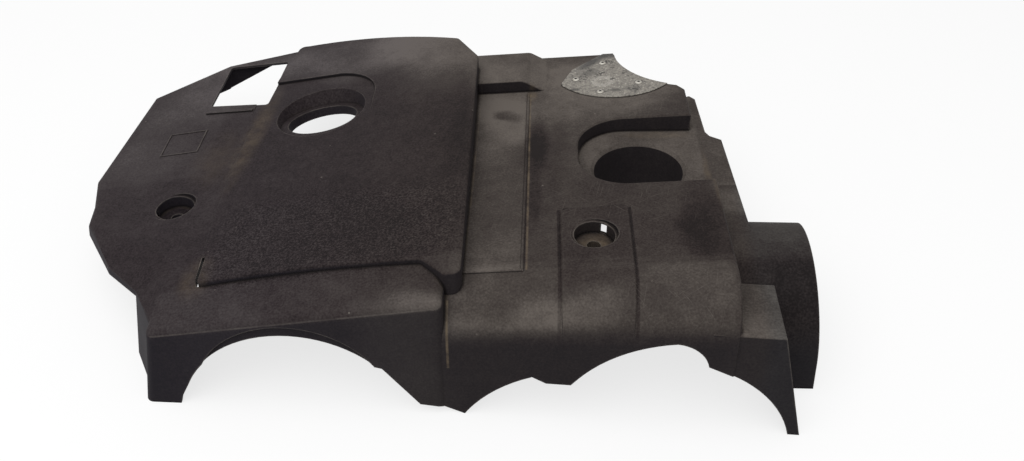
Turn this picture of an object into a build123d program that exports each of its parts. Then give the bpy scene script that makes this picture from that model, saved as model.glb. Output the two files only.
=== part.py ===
"""Moulded engine cover: one thin-walled shell and its riveted heat shield. Millimetres, +Z up."""
import os
from math import hypot

from build123d import *

# Moulding
WALL = 2.6
DEPTH_BELOW = 80.0
CEILING = 220.0
SWEEP_SPARE = 40.0

# Left body: climbs to the right and swings forward as it goes
LEFT_START_X = -345.0
LEFT_CLIMB = 0.18
LEFT_SWING = -0.02
LEFT_FLARE = 0.2
FLARE_Z = 75.0
TOP_Z = 117.6
TOP_FALL = 0.03
SKIRT_Y = -209.6
SKIRT_LEAN = 0.04
CREASE_Z = 114.0
CREASE_RADIUS = 9.0
BAND_DEPTH = 80.0
LEFT_RIM_RADIUS = 7.0
LEFT_RIM_DEPTH = 14.0
JUNCTION_X = 21.0
END_WALL_X = -209.0
BROW_DEPTH = 3.0
CORNER_PEAK = (-204.0, -134.0)
CORNER_FOOT = (-208.0, -201.0)
CORNER_LOW = (-231.0, -150.0)
CORNER_SIDE = (-298.0, -63.0)
CORNER_DROP = 5.5

# Raised pad
PAD_LIFT = 1.2
PAD_FRONT_Y = -160.0
PAD_LEFT_X = -178.0
PAD_RIGHT_X = 33.0
PAD_REAR_Y = 222.0
PAD_CORNER_RADIUS = 7.0
PAD_EDGE_RADIUS = 2.4
TAB_REACH = 24.0
SLIT_CENTRE = (-177.4, -144.0)
SLIT_SIZE = (2.2, 30.0)
SLIT_TURN = 3.0

# Right body: the hood rolls over into the front skirt
RIGHT_START_X = -4.0
RIGHT_CLIMB = 0.085
RIGHT_SWING = -0.06
RIGHT_TOP_Z = 97.8
RIGHT_FALL = 0.07
RIGHT_SKIRT_Y = -206.9
HOOD_RADIUS = 41.0
RIGHT_EDGE_X = 240.0
RIGHT_REAR_X = 232.0
RIGHT_REAR_Y = 190.0
RIGHT_RIM_RADIUS = 2.2
RIGHT_RIM_CHAMFER = 1.5

# Rear ledge and the bead beside the strip
LEDGE_LIFT = 13.0
LEDGE_FRONT_Y = 118.0
LEDGE_REAR_Y = 177.0
LEDGE_RAMP_X = (78.0, 100.0)
LEDGE_RADIUS = 9.0
BEAD_X = 80.0
BEAD_RADIUS = 1.3
BEAD_Y = (-166.0, 112.0)

# Screw pad
SCREW_PAD_X = (108.0, 165.0)
SCREW_PAD_REAR_Y = -88.0
SCREW_PAD_LIFT = 2.4
SCREW_PAD_FADE = 0.5
SCREW_PAD_RADIUS = 8.0

# Filter recess, its deck and its collar
RECESS_LEFT_X = 126.0
RECESS_Y = (-52.0, 57.0)
RECESS_RADIUS = 44.0
DECK_Z = 88.5
DECK_CLIMB = 0.03
DECK_FALL = 0.02
DECK_RIGHT_X = 267.0
DECK_FRONT_Y = -100.0
DECK_REAR_Y = 50.0
FLANGE_RIGHT_X = 243.0
FLANGE_REAR_Y = 118.0
FILTER_CENTRE = (180.0, -4.0)
FILTER_RADIUS = 39.5
FILTER_DEPTH = 72.0
FILTER_FRONT_DEPTH = 29.0
FILTER_RIM = 3.0

# Air duct and the fin in front of it
DUCT_Y = -107.0
DUCT_Z = 30.0
DUCT_RADIUS = 69.0
DUCT_START_X = 205.0
DUCT_END_X = 318.5
DUCT_MOUTH_LEAN = 8.0
FIN_STEP = 0.6
FIN_TOP_Z = 101.5
FIN_REAR_Y = -146.0
FIN_EDGE_RADIUS = 2.0
FIN_TIP_X = 298.0

# Filler hole
FILLER_CENTRE = (-117.0, 77.0)
FILLER_RADIUS = 33.5
FILLER_BOWL_RADIUS = 45.0
FILLER_DRAFT = 18.0
FILLER_TILT = 0.18
FILLER_COLLAR = 9.0
APRON_REACH = 73.0
APRON_RIGHT = 48.0
APRON_DEPTH = 4.5

# Fastener wells
LEFT_WELL = (-227.0, -49.0)
RIGHT_WELL = (135.5, -125.0)
WELL_RADIUS = 18.8
WELL_DEPTH = 13.0
WELL_STEP = 2.0
WELL_SHOULDER = 2.4
STUD_RADIUS = 5.5
BOSS_WALL = 4.0
BOSS_DEPTH = 9.0
SLOT_WIDTH = 6.0
SLOT_LENGTH = 11.0
SLOT_LAND = 0.5
SLOT_COUNT = 2
LEFT_SLOT_ANGLE = 5.0
LEFT_SLOT_HEIGHT = 5.8
RIGHT_SLOT_ANGLE = 62.0
RIGHT_SLOT_HEIGHT = 9.3

# Window in the left panel and the square mark in front of it
WINDOW = ((-237.0, 200.0), (-174.0, 194.0), (-178.0, 110.0), (-239.0, 121.0))
WINDOW_RADIUS = 3.0
LIP_CENTRE = (-215.5, 104.0)
LIP_SIZE = (50.0, 3.0)
LIP_HEIGHT = 1.6
LIP_TURN = -7.0
MARK_CENTRE = (-249.0, 56.0)
MARK_SIZE = 38.0
MARK_LINE = 1.4
MARK_HEIGHT = 0.6

# Ribs under the top
RIB_THICKNESS = 2.0
RIB_DEPTH = 8.0
PAD_RIBS_Y = (-110.0, -45.0, 20.0)
PAD_RIB_X = -45.0
STRIP_RIBS_X = (56.0, 95.0)

# Heat shield
SHIELD_THICKNESS = 1.0
SHIELD_MARGIN = 1.5
SHIELD_CORNER_RADIUS = 8.0
RIVET_RADIUS = 2.0
RIVET_HEAD_RADIUS = 3.4
RIVET_HEAD = 1.0
RIVET_BORE_RADIUS = 1.1
RIVET_CLEARANCE = 0.1
SHIELD_RIVETS = ((155.0, 168.0), (127.0, 136.0), (150.0, 108.0), (188.0, 123.0))


def left_top(y):
    """Height of the left body's top at x = 0."""
    return TOP_Z - TOP_FALL * y


def right_top(y):
    """Height of the right body's top at x = 0."""
    return RIGHT_TOP_Z - RIGHT_FALL * y


def deck_top(y):
    """Height of the deck at x = 0."""
    return DECK_Z - DECK_FALL * y


def side_plane(x, swing, climb):
    """Side-view sketch plane at x, shifted so that its numbers read as they would at x = 0."""
    return Plane(origin=(x, swing * x, climb * x), x_dir=(0, 1, 0), z_dir=(1, 0, 0))


def section_plane(x, swing, climb):
    """Sketch plane square to a sweep, where the sweep's axis passes x."""
    return Plane(origin=(x, swing * x, climb * x), x_dir=(-swing, 1, 0), z_dir=(1, swing, climb))


def on_section(plane, *points):
    """Points given by their y and z at x = 0, carried along the sweep to a plane square to it."""
    local_points = [plane.to_local_coords(Vector(0, y, z)) for y, z in points]
    return [(point.X, point.Y) for point in local_points]


def run(length, swing, climb):
    """Distance along a direction that gains length in X."""
    return length * hypot(1, swing, climb)


def rim_edges(body, sweep):
    """Edges round the top faces of a swept body, apart from those along its sweep."""
    sweep = Vector(sweep).normalized()
    tops = body.faces().filter_by(lambda face: face.normal_at().Z > 0.9)
    return tops.edges().filter_by(lambda edge: abs(edge.tangent_at(0.5).dot(sweep)) < 0.999)


def left_body(inset):
    """Left body, its top, front skirt and side walls moved in by inset."""
    crease_y = SKIRT_Y + SKIRT_LEAN * CREASE_Z
    band_end_y = crease_y + BAND_DEPTH
    flare_base = Plane(origin=(-LEFT_FLARE * (DEPTH_BELOW + FLARE_Z), 0, -DEPTH_BELOW))
    section = section_plane(LEFT_START_X, LEFT_SWING, LEFT_CLIMB)
    profile = on_section(
        section,
        (SKIRT_Y - SKIRT_LEAN * DEPTH_BELOW, -DEPTH_BELOW),
        (crease_y, CREASE_Z),
        (band_end_y, left_top(band_end_y)),
        (260, left_top(260)),
        (260, -DEPTH_BELOW),
    )
    with BuildPart() as body:
        with BuildSketch(section):
            with BuildLine():
                Polyline(*profile, close=True)
            face = make_face()
            fillet(face.vertices().sort_by_distance(profile[1])[0], CREASE_RADIUS)
            offset(amount=-inset)
        extrude(amount=run(PAD_RIGHT_X + SWEEP_SPARE - LEFT_START_X, LEFT_SWING, LEFT_CLIMB))
        with BuildSketch(flare_base):
            with BuildLine():
                Polyline(
                    (100, -300),
                    (END_WALL_X, -300),
                    (END_WALL_X, -188),
                    (-231, -150),
                    (-264, -117),
                    (-302, -57),
                    (-306, -30),
                    (-317, 10),
                    (-306, 158),
                    (-238, 208),
                    (PAD_LEFT_X + 12, PAD_REAR_Y - 3),
                    (-2, 184),
                    (40, 100),
                    (100, 100),
                    close=True,
                )
            make_face()
            offset(amount=-inset, kind=Kind.INTERSECTION)
        extrude(
            amount=run(DEPTH_BELOW + CEILING, LEFT_FLARE, 0),
            dir=(LEFT_FLARE, 0, 1),
            mode=Mode.INTERSECT,
        )
        with BuildSketch(Plane.XY.offset(-DEPTH_BELOW)):
            with Locations((JUNCTION_X - inset, 0)):
                Rectangle(600, 600, align=(Align.MAX, Align.CENTER))
        extrude(amount=DEPTH_BELOW + CEILING, mode=Mode.INTERSECT)
        fillet(rim_edges(body, (1, LEFT_SWING, LEFT_CLIMB)), LEFT_RIM_RADIUS - inset)
    return body.part


def pad_outline():
    """Plan outline of the raised pad, with the tab at its front right corner."""
    tab_y = PAD_FRONT_Y - TAB_REACH
    Polyline(
        (2, PAD_FRONT_Y - 3),
        (JUNCTION_X, tab_y),
        (PAD_RIGHT_X + 1, tab_y),
        (PAD_RIGHT_X - 3, 147),
        (8, 190),
    )
    ThreePointArc((8, 190), (-60, 214), (PAD_LEFT_X + 12, PAD_REAR_Y))
    ThreePointArc((PAD_LEFT_X + 12, PAD_REAR_Y), (PAD_LEFT_X - 9, 10), (PAD_LEFT_X, PAD_FRONT_Y))
    ThreePointArc((PAD_LEFT_X, PAD_FRONT_Y), (-90, PAD_FRONT_Y + 2.5), (2, PAD_FRONT_Y - 3))


def pad_block(inset):
    """Block under the raised pad, moved in by inset."""
    with BuildPart() as block:
        with BuildSketch(side_plane(LEFT_START_X, 0, LEFT_CLIMB)):
            with BuildLine():
                Polyline(
                    (-260, -DEPTH_BELOW),
                    (-260, left_top(-260) + PAD_LIFT - inset),
                    (260, left_top(260) + PAD_LIFT - inset),
                    (260, -DEPTH_BELOW),
                    close=True,
                )
            make_face()
        extrude(amount=run(450, 0, LEFT_CLIMB), dir=(1, 0, LEFT_CLIMB))
        with BuildSketch(Plane.XY.offset(-DEPTH_BELOW)):
            with BuildLine():
                pad_outline()
            face = make_face()
            fillet(face.vertices(), PAD_CORNER_RADIUS)
            offset(amount=-inset)
        extrude(amount=DEPTH_BELOW + CEILING, mode=Mode.INTERSECT)
        if inset == 0:
            fillet(block.faces().sort_by(Axis.Z)[-1].edges(), PAD_EDGE_RADIUS)
    return block.part


def hood_points():
    """Foot of the front skirt and the corner where the hood rolls over it, in the side view."""
    corner_y = RIGHT_SKIRT_Y + SKIRT_LEAN * right_top(RIGHT_SKIRT_Y)
    return (RIGHT_SKIRT_Y - SKIRT_LEAN * DEPTH_BELOW, -DEPTH_BELOW), (corner_y, right_top(corner_y))


def right_outline():
    """Plan outline of the right body, hollowed at its rear right corner."""
    Polyline(
        (168, RIGHT_REAR_Y),
        (RIGHT_START_X, RIGHT_REAR_Y),
        (RIGHT_START_X, -300),
        (RIGHT_EDGE_X, -300),
        (RIGHT_EDGE_X, -40),
        (RIGHT_REAR_X, 0),
        (RIGHT_REAR_X - 1, 107),
        (RIGHT_REAR_X - 7, 116),
    )
    ThreePointArc((RIGHT_REAR_X - 7, 116), (187, 142), (168, RIGHT_REAR_Y))


def is_right_rim(edge):
    """Whether an edge belongs to the open rim of the right body's top."""
    centre = edge.center()
    return centre.X > RIGHT_START_X + 1 and centre.Z > right_z(centre.X, centre.Y) - 1


def right_body(inset):
    """Right body with its hood and its filter recess, moved in by inset."""
    section = section_plane(RIGHT_START_X - SWEEP_SPARE, RIGHT_SWING, RIGHT_CLIMB)
    profile = on_section(section, *hood_points(), (260, right_top(260)), (260, -DEPTH_BELOW))
    with BuildPart() as body:
        with BuildSketch(section):
            with BuildLine():
                Polyline(*profile, close=True)
            face = make_face()
            fillet(face.vertices().sort_by_distance(profile[1])[0], HOOD_RADIUS)
            offset(amount=-inset)
        extrude(amount=run(RIGHT_EDGE_X - RIGHT_START_X + 2 * SWEEP_SPARE, RIGHT_SWING, RIGHT_CLIMB))
        with BuildSketch(Plane.XY.offset(-DEPTH_BELOW)):
            with BuildLine():
                right_outline()
            make_face()
            offset(amount=-inset)
        extrude(amount=DEPTH_BELOW + CEILING, mode=Mode.INTERSECT)
        add(recess_cut(inset), mode=Mode.SUBTRACT)
        if inset == 0:
            rim = rim_edges(body, (1, RIGHT_SWING, RIGHT_CLIMB))
            chamfer(rim.filter_by(is_right_rim), RIGHT_RIM_CHAMFER)
    return body.part


def ledge_ramp():
    """Ends of the slope from the ledge down to the right body, in the front view."""
    middle_y = (LEDGE_FRONT_Y + LEDGE_REAR_Y) / 2
    start_x, end_x = LEDGE_RAMP_X
    start = Vector(start_x, right_top(middle_y) + LEDGE_LIFT + RIGHT_CLIMB * start_x)
    return start, Vector(end_x, right_z(end_x, middle_y))


def is_ledge_rim(edge):
    """Whether an edge of the ledge's front runs along its top or its slope."""
    return edge.center().Z > DECK_Z and abs(edge.tangent_at(0.5).Z) < 0.9


def ledge_block(inset):
    """Raised ledge across the rear of the strip, sloping down at its right end."""
    start, end = ledge_ramp()
    high = start - (end - start) * 2
    low = end + (end - start) * 0.3
    with BuildPart() as block:
        with BuildSketch(side_plane(RIGHT_START_X, 0, RIGHT_CLIMB)):
            with BuildLine():
                Polyline(
                    (LEDGE_FRONT_Y - 3 + inset, -DEPTH_BELOW),
                    (LEDGE_FRONT_Y + inset, right_top(LEDGE_FRONT_Y) + LEDGE_LIFT - inset),
                    (LEDGE_REAR_Y - inset, right_top(LEDGE_REAR_Y) + LEDGE_LIFT - inset),
                    (LEDGE_REAR_Y - inset, -DEPTH_BELOW),
                    close=True,
                )
            make_face()
        extrude(amount=run(low.X + SWEEP_SPARE, 0, RIGHT_CLIMB), dir=(1, 0, RIGHT_CLIMB))
        with BuildSketch(Plane.XZ):
            with BuildLine():
                Polyline(
                    (RIGHT_START_X - SWEEP_SPARE, -DEPTH_BELOW),
                    (RIGHT_START_X - SWEEP_SPARE, high.Y),
                    (high.X, high.Y),
                    (low.X, low.Y),
                    (low.X, -DEPTH_BELOW),
                    close=True,
                )
            make_face()
            offset(amount=-inset)
        extrude(amount=300, both=True, mode=Mode.INTERSECT)
        top_face = block.faces().sort_by(Axis.Z)[-1]
        fillet(top_face.edges().sort_by(Axis.X)[-1], LEDGE_RADIUS - inset)
        if inset == 0:
            front_face = block.faces().sort_by(Axis.Y)[0]
            fillet(front_face.edges().filter_by(is_ledge_rim), RIGHT_RIM_RADIUS)
    return block.part


def recess_cut(grow):
    """Space of the filter recess above its deck, grown by grow."""
    with BuildPart() as cut:
        with BuildSketch(side_plane(0, 0, DECK_CLIMB)):
            with BuildLine():
                Polyline(
                    (-200, deck_top(-200) - grow),
                    (200, deck_top(200) - grow),
                    (200, CEILING),
                    (-200, CEILING),
                    close=True,
                )
            make_face()
        extrude(amount=run(400, 0, DECK_CLIMB), dir=(1, 0, DECK_CLIMB))
        with BuildSketch(Plane.XY):
            with BuildLine():
                Polyline(
                    (400, RECESS_Y[0]),
                    (RECESS_LEFT_X, RECESS_Y[0]),
                    (RECESS_LEFT_X, RECESS_Y[1]),
                    (400, RECESS_Y[1]),
                    close=True,
                )
            face = make_face()
            fillet(face.vertices().group_by(Axis.X)[0], RECESS_RADIUS)
            offset(amount=grow)
        extrude(amount=CEILING, mode=Mode.INTERSECT)
    return cut.part


def is_deck_rim(edge):
    """Whether an edge belongs to the deck's outer rim."""
    centre = edge.center()
    return centre.X > RIGHT_REAR_X + 2 and DECK_FRONT_Y + 1 < centre.Y < DECK_REAR_Y - 1


def deck_block(inset):
    """Deck at the foot of the filter recess, with a flange that runs on behind it."""
    with BuildPart() as block:
        with BuildSketch(side_plane(0, 0, DECK_CLIMB)):
            with BuildLine():
                Polyline(
                    (-150, -DEPTH_BELOW),
                    (-150, deck_top(-150) - inset),
                    (200, deck_top(200) - inset),
                    (200, -DEPTH_BELOW),
                    close=True,
                )
            make_face()
        extrude(amount=run(400, 0, DECK_CLIMB), dir=(1, 0, DECK_CLIMB))
        with BuildSketch(Plane.XY.offset(-DEPTH_BELOW)):
            with BuildLine():
                Polyline(
                    (RECESS_LEFT_X, DECK_FRONT_Y),
                    (DECK_RIGHT_X, DECK_FRONT_Y),
                    (DECK_RIGHT_X - 7, DECK_REAR_Y - 8),
                    (DECK_RIGHT_X - 19, DECK_REAR_Y),
                    (FLANGE_RIGHT_X + 3, DECK_REAR_Y + 4),
                    (FLANGE_RIGHT_X, FLANGE_REAR_Y - 6),
                    (FLANGE_RIGHT_X - 5, FLANGE_REAR_Y),
                    (RIGHT_REAR_X - 8, FLANGE_REAR_Y - 6),
                    (RIGHT_REAR_X - 8, DECK_REAR_Y),
                    (RECESS_LEFT_X, DECK_REAR_Y),
                    close=True,
                )
            make_face()
            offset(amount=-inset)
        extrude(amount=DEPTH_BELOW + CEILING, mode=Mode.INTERSECT)
        if inset == 0:
            top_face = block.faces().sort_by(Axis.Z)[-1]
            fillet(top_face.edges().filter_by(is_deck_rim), RIGHT_RIM_RADIUS)
    return block.part


def duct_block(inset, end_x):
    """Half-round air duct along X, moved in by inset."""
    radius = DUCT_RADIUS - inset
    with BuildPart() as block:
        with BuildSketch(Plane.YZ.offset(DUCT_START_X + inset)):
            with Locations((DUCT_Y, DUCT_Z)):
                Circle(radius)
            with Locations((DUCT_Y, DUCT_Z)):
                Rectangle(2 * radius, DEPTH_BELOW + DUCT_Z, align=(Align.CENTER, Align.MAX))
        extrude(amount=end_x - DUCT_START_X - inset)
        with BuildSketch(Plane.XZ):
            with BuildLine():
                Polyline(
                    (end_x, 0),
                    (end_x - DUCT_MOUTH_LEAN, DUCT_Z + DUCT_RADIUS),
                    (end_x + 20, DUCT_Z + DUCT_RADIUS),
                    close=True,
                )
            make_face()
        extrude(amount=300, both=True, mode=Mode.SUBTRACT)
    return block.part


def fin_block(inset):
    """Shelf and fin in front of the duct, carrying the front skirt on to the right."""
    front_y = RIGHT_SKIRT_Y + FIN_STEP
    section = section_plane(RIGHT_EDGE_X - SWEEP_SPARE, RIGHT_SWING, 0)
    profile = on_section(
        section,
        (front_y - SKIRT_LEAN * DEPTH_BELOW, -DEPTH_BELOW),
        (front_y + SKIRT_LEAN * FIN_TOP_Z, FIN_TOP_Z),
        (FIN_REAR_Y, FIN_TOP_Z + 1.5),
        (FIN_REAR_Y, -DEPTH_BELOW),
    )
    with BuildPart() as block:
        with BuildSketch(section):
            with BuildLine():
                Polyline(*profile, close=True)
            make_face()
            offset(amount=-inset)
        extrude(amount=run(FIN_TIP_X - RIGHT_EDGE_X + 2 * SWEEP_SPARE, RIGHT_SWING, 0))
        with BuildSketch(Plane.XZ.offset(300)):
            with BuildLine():
                Polyline(
                    (RIGHT_EDGE_X - 20, -DEPTH_BELOW),
                    (RIGHT_EDGE_X - 20, 160),
                    (RIGHT_EDGE_X + 18, 160),
                    (FIN_TIP_X, 0),
                    (FIN_TIP_X, -DEPTH_BELOW),
                    close=True,
                )
            make_face()
            offset(amount=-inset)
        extrude(amount=-300, mode=Mode.INTERSECT)
        if inset == 0:
            top_face = block.faces().sort_by(Axis.Z)[-1]
            fillet(top_face.edges().sort_by(Axis.X)[1:], FIN_EDGE_RADIUS)
    return block.part


def top_plane(x, y, z, climb, fall):
    """Sketch plane on a sloping top at a plan position."""
    return Plane(origin=(x, y, z), x_dir=(1, 0, climb), z_dir=(-climb, fall, 1))


def pad_z(x, y):
    """Height of the pad's top."""
    return left_top(y) + PAD_LIFT + LEFT_CLIMB * x


def left_z(x, y):
    """Height of the left body's top behind the band."""
    return left_top(y - LEFT_SWING * x) + LEFT_CLIMB * x


def band_z(x, y):
    """Height of the band in front of the left body's top."""
    crease_y = SKIRT_Y + SKIRT_LEAN * CREASE_Z
    rise = (left_top(crease_y + BAND_DEPTH) - CREASE_Z) / BAND_DEPTH
    return CREASE_Z + rise * (y - LEFT_SWING * x - crease_y) + LEFT_CLIMB * x


def right_z(x, y):
    """Height of the right body's top behind the hood."""
    return right_top(y - RIGHT_SWING * x) + RIGHT_CLIMB * x


def screw_pad(inset):
    """Lifted strip round the right well that fades out down the hood, moved in by inset."""
    foot, corner = hood_points()
    section = section_plane(SCREW_PAD_X[0] - SWEEP_SPARE, RIGHT_SWING, RIGHT_CLIMB)
    profile = on_section(
        section,
        (foot[0] + SCREW_PAD_FADE, foot[1]),
        (corner[0] + SCREW_PAD_FADE, corner[1] + SCREW_PAD_LIFT),
        (0, right_top(0) + SCREW_PAD_LIFT),
        (0, -DEPTH_BELOW),
    )
    with BuildPart() as block:
        with BuildSketch(section):
            with BuildLine():
                Polyline(*profile, close=True)
            face = make_face()
            fillet(face.vertices().sort_by_distance(profile[1])[0], HOOD_RADIUS)
            offset(amount=-inset)
        extrude(amount=run(SCREW_PAD_X[1] - SCREW_PAD_X[0] + 2 * SWEEP_SPARE, RIGHT_SWING, RIGHT_CLIMB))
        with BuildSketch(Plane.XY.offset(-DEPTH_BELOW)):
            with BuildLine():
                Polyline(
                    (SCREW_PAD_X[0], -300),
                    (SCREW_PAD_X[0], SCREW_PAD_REAR_Y),
                    (SCREW_PAD_X[1], SCREW_PAD_REAR_Y + 3),
                    (SCREW_PAD_X[1], -300),
                    close=True,
                )
            face = make_face()
            fillet(face.vertices().sort_by(Axis.Y)[-2:], SCREW_PAD_RADIUS)
            offset(amount=-inset)
        extrude(amount=DEPTH_BELOW + CEILING, mode=Mode.INTERSECT)
        if inset == 0:
            chamfer(rim_edges(block, (1, RIGHT_SWING, RIGHT_CLIMB)), SCREW_PAD_LIFT * 0.9)
    return block.part


def strip_bead():
    """Raised bead along the right side of the strip, turning across its front end."""
    climb = RIGHT_CLIMB + RIGHT_FALL * RIGHT_SWING
    origin = (BEAD_X, 0, right_z(BEAD_X, 0))
    with BuildPart() as bead:
        with BuildLine(top_plane(*origin, climb, RIGHT_FALL)):
            path = Polyline((0, BEAD_Y[1]), (0, BEAD_Y[0]), (PAD_RIGHT_X - BEAD_X, BEAD_Y[0]))
        with BuildSketch(Plane(origin=path @ 0, z_dir=path % 0)):
            Circle(BEAD_RADIUS)
        sweep(transition=Transition.RIGHT)
    return bead.part


def filler_plane(drop):
    """Tilted plane of the filler hole's rim, flush with the pad at its front edge."""
    x, y = FILLER_CENTRE
    sunk = FILLER_TILT * FILLER_BOWL_RADIUS + drop
    return top_plane(x, y, pad_z(x, y) - sunk, LEFT_CLIMB, TOP_FALL + FILLER_TILT)


def filler_bowl(grow):
    """Space of the bowl round the filler hole, grown by grow."""
    with BuildPart() as bowl:
        with BuildSketch(filler_plane(grow)):
            Circle(FILLER_BOWL_RADIUS - FILLER_TILT * FILLER_BOWL_RADIUS / 2 + grow)
        extrude(amount=60, taper=-FILLER_DRAFT)
    return bowl.part


def filler_apron(grow):
    """Shallow dish behind and beside the filler bowl, deepest at its rear edge."""
    front_y = FILLER_CENTRE[1] - 20
    rear_y = FILLER_CENTRE[1] + APRON_REACH
    with BuildPart() as dish:
        with BuildSketch(side_plane(LEFT_START_X, 0, LEFT_CLIMB)):
            with BuildLine():
                Polyline(
                    (front_y, left_top(front_y) + PAD_LIFT - grow),
                    (rear_y + 40, left_top(rear_y + 40) + PAD_LIFT - grow - APRON_DEPTH),
                    (rear_y + 40, CEILING),
                    (front_y, CEILING),
                    close=True,
                )
            make_face()
        extrude(amount=run(450, 0, LEFT_CLIMB), dir=(1, 0, LEFT_CLIMB))
        with BuildSketch(Plane.XY):
            with BuildLine():
                Polyline(
                    (PAD_LEFT_X - 12, front_y - 60),
                    (PAD_LEFT_X - 12, rear_y),
                    (FILLER_CENTRE[0] + APRON_RIGHT, rear_y),
                    (FILLER_CENTRE[0] + APRON_RIGHT, front_y - 60),
                    close=True,
                )
            face = make_face()
            fillet(face.vertices().group_by(Axis.Y)[-1].sort_by(Axis.X)[-1], APRON_RIGHT - 2)
            offset(amount=grow)
        extrude(amount=CEILING, mode=Mode.INTERSECT)
    return dish.part


def well_space(centre, top, grow):
    """Stepped round space of a fastener well, grown by grow."""
    with BuildPart() as space:
        for radius, depth in ((WELL_RADIUS, WELL_STEP), (WELL_RADIUS - WELL_SHOULDER, WELL_DEPTH)):
            with BuildSketch(Plane(origin=(*centre, top - depth - grow))):
                Circle(radius + grow)
            extrude(amount=depth + grow + 40)
    return space.part


def front_opening():
    """Clearance arches under the front skirts, in the front view."""
    with BuildPart() as opening:
        with BuildSketch(Plane.XZ.offset(190)):
            with BuildLine():
                Polyline((-196, -5), (-192, 8), (-184, 23))
                ThreePointArc((-184, 23), (-103, 76), (-36, 50))
                Polyline((-36, 50), (-28, 48), (0, 10), (16, 8), (35, 0), (35, -5), (-196, -5))
            make_face()
            with BuildLine():
                Polyline((35, -5), (35, 0))
                ThreePointArc((35, 0), (60, 29), (88, 46))
                Polyline((88, 46), (99, 40), (118, 40), (124, 48))
                ThreePointArc((124, 48), (154, 75), (195, 90))
                ThreePointArc((195, 90), (211, 84), (220, 69))
                Polyline((220, 69), (238, 61))
                ThreePointArc((238, 61), (272, 34), (290, -5))
                Line((290, -5), (35, -5))
            make_face()
        extrude(amount=80)
    return opening.part


def brow_cut(grow):
    """Space that sets the skirt back in a crescent over the left arch, grown by grow."""
    with BuildPart() as cut:
        with BuildSketch(Plane.XZ.offset(185)):
            with BuildLine():
                ThreePointArc((-170, 44), (-101, 87), (-34, 50))
                Polyline((-34, 50), (-34, -DEPTH_BELOW), (-170, -DEPTH_BELOW), (-170, 44))
            make_face()
            offset(amount=grow)
        extrude(amount=60)
        add(left_body(BROW_DEPTH + grow), mode=Mode.SUBTRACT)
    return cut.part


def facet(first, second, third):
    """Plane through three points, facing up."""
    normal = (second - first).cross(third - first)
    return Plane(origin=first, z_dir=normal if normal.Z > 0 else -normal)


def corner_cut(grow):
    """Space over the hollowed front left corner, grown by grow."""
    peak = Vector(*CORNER_PEAK, band_z(*CORNER_PEAK))
    foot = Vector(*CORNER_FOOT, band_z(*CORNER_FOOT))
    low = Vector(*CORNER_LOW, band_z(*CORNER_LOW) - CORNER_DROP)
    side = Vector(*CORNER_SIDE, left_z(*CORNER_SIDE))
    with BuildPart() as cut:
        with BuildSketch(facet(peak, foot, low).offset(-grow)):
            Rectangle(200, 200)
        extrude(amount=60)
        with BuildSketch(facet(peak, low, side).offset(-grow)):
            Rectangle(200, 200)
        extrude(amount=60, mode=Mode.INTERSECT)
    return cut.part


def rim_trim():
    """Space below the shallow rim of the left panel."""
    with BuildPart() as trim:
        with BuildSketch(side_plane(LEFT_START_X, 0, LEFT_CLIMB)):
            with BuildLine():
                Polyline(
                    (-150, left_top(-150) - LEFT_RIM_DEPTH),
                    (100, left_top(100) - LEFT_RIM_DEPTH),
                    (150, left_top(150) - 2 * LEFT_RIM_DEPTH),
                    (260, left_top(260) - 2 * LEFT_RIM_DEPTH),
                    (260, -DEPTH_BELOW),
                    (-150, -DEPTH_BELOW),
                    close=True,
                )
            make_face()
        extrude(amount=run(END_WALL_X - LEFT_START_X, 0, LEFT_CLIMB), dir=(1, 0, LEFT_CLIMB))
        with BuildSketch(Plane(origin=(*LEFT_WELL, 0))):
            Circle(WELL_RADIUS + WALL)
        extrude(amount=CEILING, mode=Mode.SUBTRACT)
    return trim.part


def rear_opening():
    """Clearance under the rear walls, leaving two legs that reach the floor."""
    with BuildPart() as opening:
        with BuildSketch(Plane.XZ.offset(-180)):
            with BuildLine():
                Polyline((-245, -5), (-245, 40), (-195, 66), (-62, 88), (-42, 60), (-36, -5), close=True)
            make_face()
        extrude(amount=-100)
        with BuildSketch(Plane.XZ.offset(-110)):
            with BuildLine():
                Polyline((38, -5), (50, 58), (192, 70), (204, -5), close=True)
            make_face()
        extrude(amount=-170)
    return opening.part


def filter_plane():
    """Plane on the deck at the middle of the filter hole."""
    x, y = FILTER_CENTRE
    return top_plane(x, y, deck_top(y) + DECK_CLIMB * x, DECK_CLIMB, DECK_FALL)


def filter_collar():
    """Sleeve under the filter recess, cut on a slant so that it is deepest at its rear."""
    reach = FILTER_RADIUS + WALL
    centre_y = FILTER_CENTRE[1]
    with BuildPart() as collar:
        with BuildSketch(filter_plane()):
            Circle(FILTER_RADIUS + WALL)
            Circle(FILTER_RADIUS, mode=Mode.SUBTRACT)
        extrude(amount=-FILTER_DEPTH)
        add(deck_block(WALL / 2), mode=Mode.INTERSECT)
        with BuildSketch(Plane.YZ):
            with BuildLine():
                Polyline(
                    (centre_y - reach, DECK_Z - FILTER_FRONT_DEPTH),
                    (centre_y + reach, DECK_Z - FILTER_DEPTH),
                    (centre_y - reach, DECK_Z - FILTER_DEPTH),
                    close=True,
                )
            make_face()
        extrude(amount=2 * FILTER_CENTRE[0], mode=Mode.SUBTRACT)
    return collar.part


def is_filter_rim(edge):
    """Whether an edge belongs to the upper rim of the filter hole."""
    x, y, z = edge.position_at(0.5)
    reach = hypot(x - FILTER_CENTRE[0], y - FILTER_CENTRE[1])
    return abs(reach - FILTER_RADIUS) < 0.1 and abs(z - deck_top(y) - DECK_CLIMB * x) < 0.5


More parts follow.
